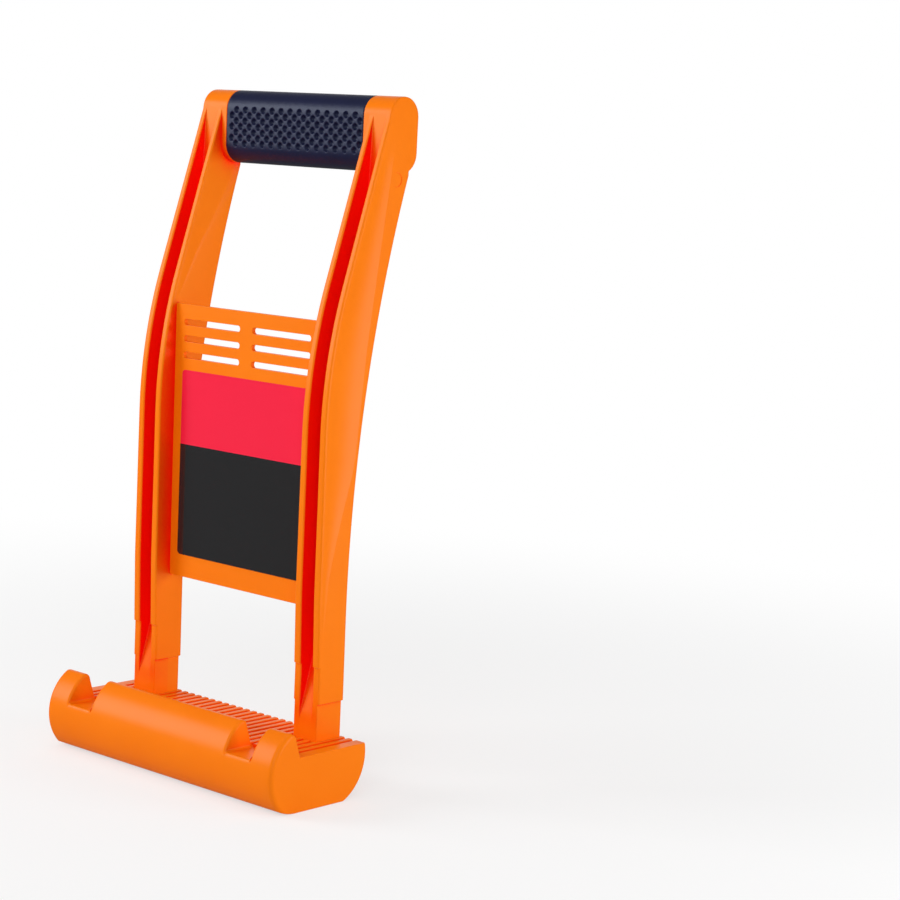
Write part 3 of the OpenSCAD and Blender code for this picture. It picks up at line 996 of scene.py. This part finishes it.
for vert in sheet.verts:
    vert.co = wrap(vert.co)
bmesh.ops.remove_doubles(sheet, verts=sheet.verts, dist=weld * MM)
for side in (-1, 1):
    for cut_x, clear in ((grip_half - rim_in, False), (grip_half, True)):
        bmesh.ops.bisect_plane(sheet, geom=sheet.verts[:] + sheet.edges[:] + sheet.faces[:],
                               plane_co=(side * cut_x * MM, 0, 0), plane_no=(side, 0, 0), clear_outer=clear)
for vert in sheet.verts:
    if abs(vert.co.x) > (grip_half - rim_in / 2) * MM:
        middle = Vector((vert.co.x, grip_y * MM, min(max(vert.co.z, head_low_z * MM), head_top_z * MM)))
        vert.co += (middle - vert.co).normalized() * rim_drop * MM
bmesh.ops.holes_fill(sheet, edges=[e for e in sheet.edges if e.is_boundary])
bmesh.ops.recalc_face_normals(sheet, faces=sheet.faces)
sheet = cut_with(sheet, oval_bar(-past_end, past_end, shrink=sleeve_t), "DIFFERENCE")
finish_piece(sheet, "dimpled_sleeve", rubber, "soft_grip", "grip_sleeve", crease=50)

# %% [markdown]
# ## Plate
# The plate is a flat moulding with six slots. Its solid already has the right outline, so a welded copy of
# it is taken: the triangles on its flat faces are merged and its sharp edges are bevelled by a third of a
# millimetre.

# %% Plate
plate_edge, plate_weld = 0.35, 0.001
plate = bmesh.new()
plate.from_mesh(frame["nodes"]["centre_plate"].data)
bmesh.ops.remove_doubles(plate, verts=plate.verts, dist=plate_weld * MM)
bmesh.ops.dissolve_limit(plate, angle_limit=math.radians(1), verts=plate.verts, edges=plate.edges)
sharp = [e for e in plate.edges if e.calc_face_angle(0) > math.radians(40)]
bmesh.ops.bevel(plate, geom=sharp, offset=plate_edge * MM, offset_type="OFFSET", affect="EDGES",
                segments=2, profile=0.5, material=-1)
finish_piece(plate, "slotted_plate", orange, "orange_moulding", "centre_plate")

# %% [markdown]
# ## Studio
# A pale floor and five soft lamps. The front left one draws the highlights on the hook, the front right
# one fills the edges, the side panel mirrors in the scooped legs, and a weak one hangs overhead. The panel
# behind lights nothing and only mirrors in faces seen at a flat angle, such as the tops of the ribs. The
# camera sees the world as white. Everything else gets a moderate even light from it, and shiny faces
# mirror it darker than that, so that colours come out as they are written.

# %% World
ambient = 0.32
reflected = 0.2
world = Finish(bpy.data.worlds.new("studio"), "Background")
bpy.context.scene.world = world.owner
seen = world.node("ShaderNodeLightPath", output="Is Camera Ray")
mirrored = world.node("ShaderNodeLightPath", output="Is Glossy Ray")
world.set(
    Color=(1.0, 1.0, 1.0),
    Strength=ambient + (1 - ambient) * seen + (reflected - ambient) * mirrored,
)
print("world", world.owner.name)

# %% Floor
floor_half, shadow_near, shadow_far = 6.0, 0.25, 0.9
floor_glow, floor_shade, floor_bounce = 0.62, 0.35, 0.8


def pale_floor():
    """Matt near the carrier, so that it takes a shadow, and as white as the world further off."""
    finish = Finish(bpy.data.materials.new("pale_floor"))
    far = finish.node("ShaderNodeVectorMath", {"operation": "LENGTH"}, {0: finish.place()}, output="Value")
    away = finish.ramp(far, shadow_near, shadow_far)
    seen = finish.node("ShaderNodeLightPath", output="Is Camera Ray")
    mirrored = finish.node("ShaderNodeLightPath", output="Is Glossy Ray")
    glow = floor_glow + (1 - floor_glow) * away
    none, full = (0.0, 0.0, 0.0), (1.0, 1.0, 1.0)
    shadowed = finish.mix(away, (floor_shade,) * 3, none)
    bounced = finish.mix(mirrored, (floor_bounce,) * 3, none)
    finish.set(
        Base_Color=finish.mix(seen, bounced, shadowed),
        Emission_Color=finish.mix(glow * seen + reflected * mirrored, none, full),
        Emission_Strength=1.0,
        Roughness=0.9,
        Specular_IOR_Level=0.0,
    )
    return finish.owner


floor_mesh = bpy.data.meshes.new("floor")
floor_bm = bmesh.new()
bmesh.ops.create_grid(floor_bm, x_segments=1, y_segments=1, size=floor_half)
floor_bm.to_mesh(floor_mesh)
floor_bm.free()
floor_mesh.materials.append(pale_floor())
floor = bpy.data.objects.new("floor", floor_mesh)
bpy.context.scene.collection.objects.link(floor)
print("floor", 2 * floor_half, "m wide")

# %% Lamps


def soft_lamp(name, turn, rise, far, size, watts, lights=1.0):
    """Square lamp at a turn and a rise in degrees, aimed at the carrier. With lights 0 it only mirrors."""
    data = bpy.data.lights.new(name, "AREA")
    data.size = size
    data.energy = watts
    data.diffuse_factor = lights
    lamp = bpy.data.objects.new(name, data)
    towards = direction(math.radians(turn), math.radians(rise))
    lamp.rotation_euler = towards.to_track_quat("Z", "Y").to_euler()
    lamp.location = aim_point + far * towards
    lamp.visible_camera = False
    bpy.context.scene.collection.objects.link(lamp)


soft_lamp("front_left", -48, 20, 1.6, 0.8, 14.0)
soft_lamp("front_right", 38, 22, 1.8, 1.2, 9.0)
soft_lamp("side_panel", 113, 0, 0.9, 0.4, 3.5)
soft_lamp("overhead", 20, 80, 1.5, 1.0, 4.0)
soft_lamp("back_panel", 226, 10, 1.6, 1.4, 4.0, lights=0.0)
bpy.context.scene.view_settings.view_transform = "Standard"
